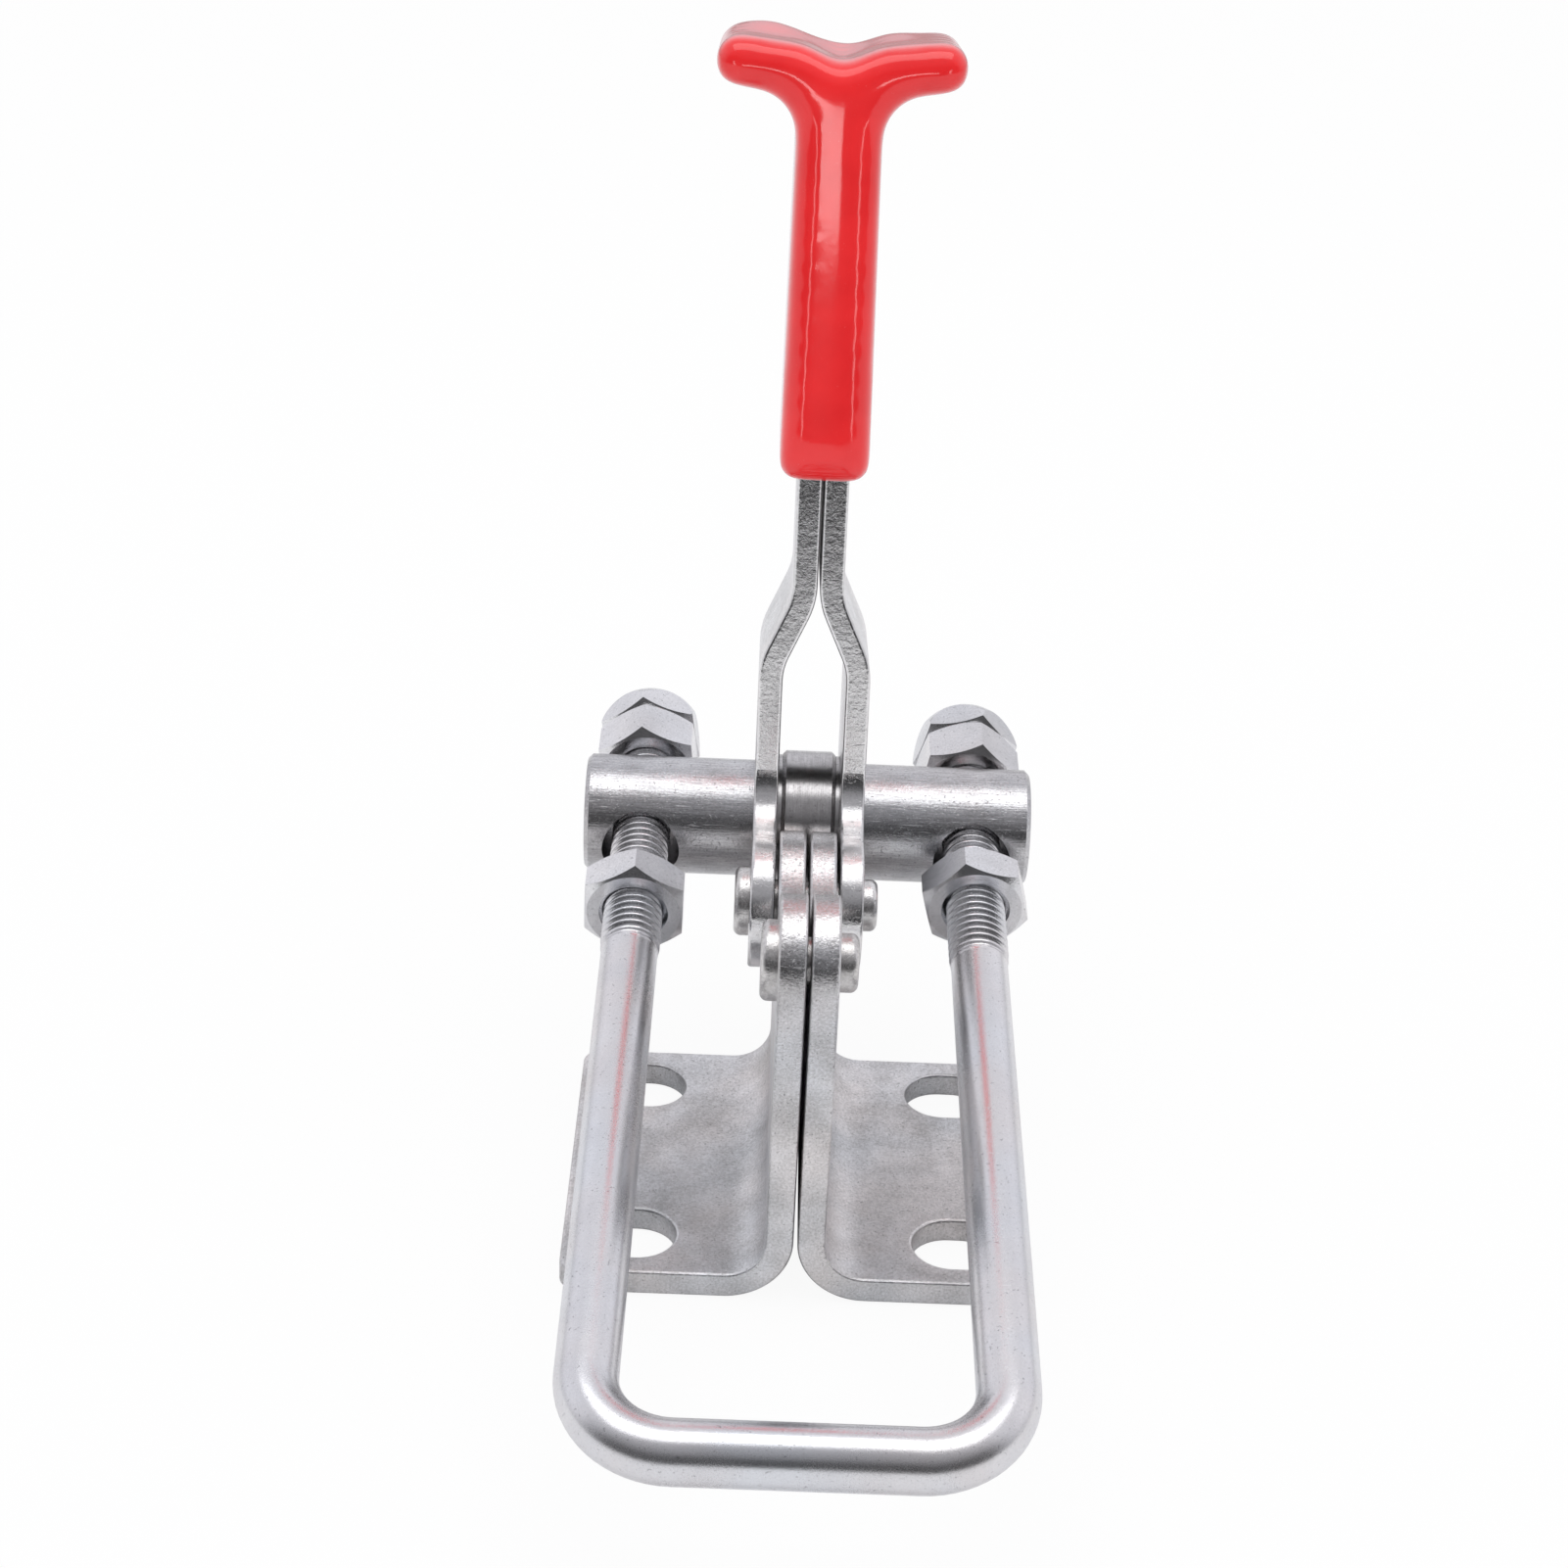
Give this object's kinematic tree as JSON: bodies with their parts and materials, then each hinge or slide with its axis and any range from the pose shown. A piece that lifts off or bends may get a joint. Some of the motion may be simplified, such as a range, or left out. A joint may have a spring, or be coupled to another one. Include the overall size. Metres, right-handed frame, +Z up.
{
  "type": "over centre toggle latch",
  "caption": "Over centre toggle latch with riveted steel brackets, a vinyl dipped T handle and a threaded U hook with adjusting nuts on a cross bar",
  "frame": {"origin": "centre of the four mounting slots, on the underside of the feet", "axes": "+X to the right across the latch, +Y away from the hook, +Z up from the mounting surface; the latch is closed"},
  "size_m": [0.0604, 0.1412, 0.1432],
  "materials": {
    "bracket_steel": "tumbled stainless sheet, satin, bright sheared edges",
    "handle_steel": "tumbled stainless sheet, satin",
    "rivet_steel": "bright formed rivet heads",
    "bar_steel": "drawn round bar with lengthwise brushing",
    "roller_steel": "turned and polished, darker than the bar",
    "hook_steel": "polished rod with rolled thread",
    "nut_steel": "bright stainless nuts",
    "grip_vinyl": "glossy red dipped vinyl"
  },
  "bodies": {
    "base": {"base_bracket_left": "bracket_steel", "base_bracket_right": "bracket_steel", "frame_rivet": "rivet_steel", "pivot_rivet": "rivet_steel"},
    "handle": {"handle_plate_left": "handle_steel", "handle_plate_right": "handle_steel", "handle_grip": "grip_vinyl"},
    "roller": {"centre_roller": "roller_steel", "roller_washer_left": "roller_steel", "roller_washer_right": "roller_steel"},
    "bar": {"cross_bar": "bar_steel"},
    "hook": {"hook": "hook_steel", "front_nut_left": "nut_steel", "front_nut_right": "nut_steel", "rear_nut_left": "nut_steel", "rear_nut_right": "nut_steel", "cap_nut_left": "nut_steel", "cap_nut_right": "nut_steel"}
  },
  "joints": [
    {"name": "handle_swing", "type": "hinge", "parent": "base", "child": "handle", "pos_m": [0, 0.013, 0.036], "axis": [1, 0, 0], "range_deg": [0, 80]},
    {"name": "roller_turn", "type": "hinge", "parent": "handle", "child": "roller", "pos_m": [0, 0.032, 0.038], "axis": [1, 0, 0], "range_deg": [-80, 0]},
    {"name": "hook_swivel", "type": "hinge", "parent": "roller", "child": "bar", "pos_m": [0, 0.032, 0.038], "axis": [-1, 0, 0], "range_deg": [-8, 98]},
    {"name": "hook_play", "type": "slide", "parent": "bar", "child": "hook", "axis": [0, 0.9848, 0.1736], "range_m": [0, 0.0042]}
  ],
  "couplings": [
    {"joint": "roller_turn", "follows": "handle_swing", "ratio": -1}
  ]
}
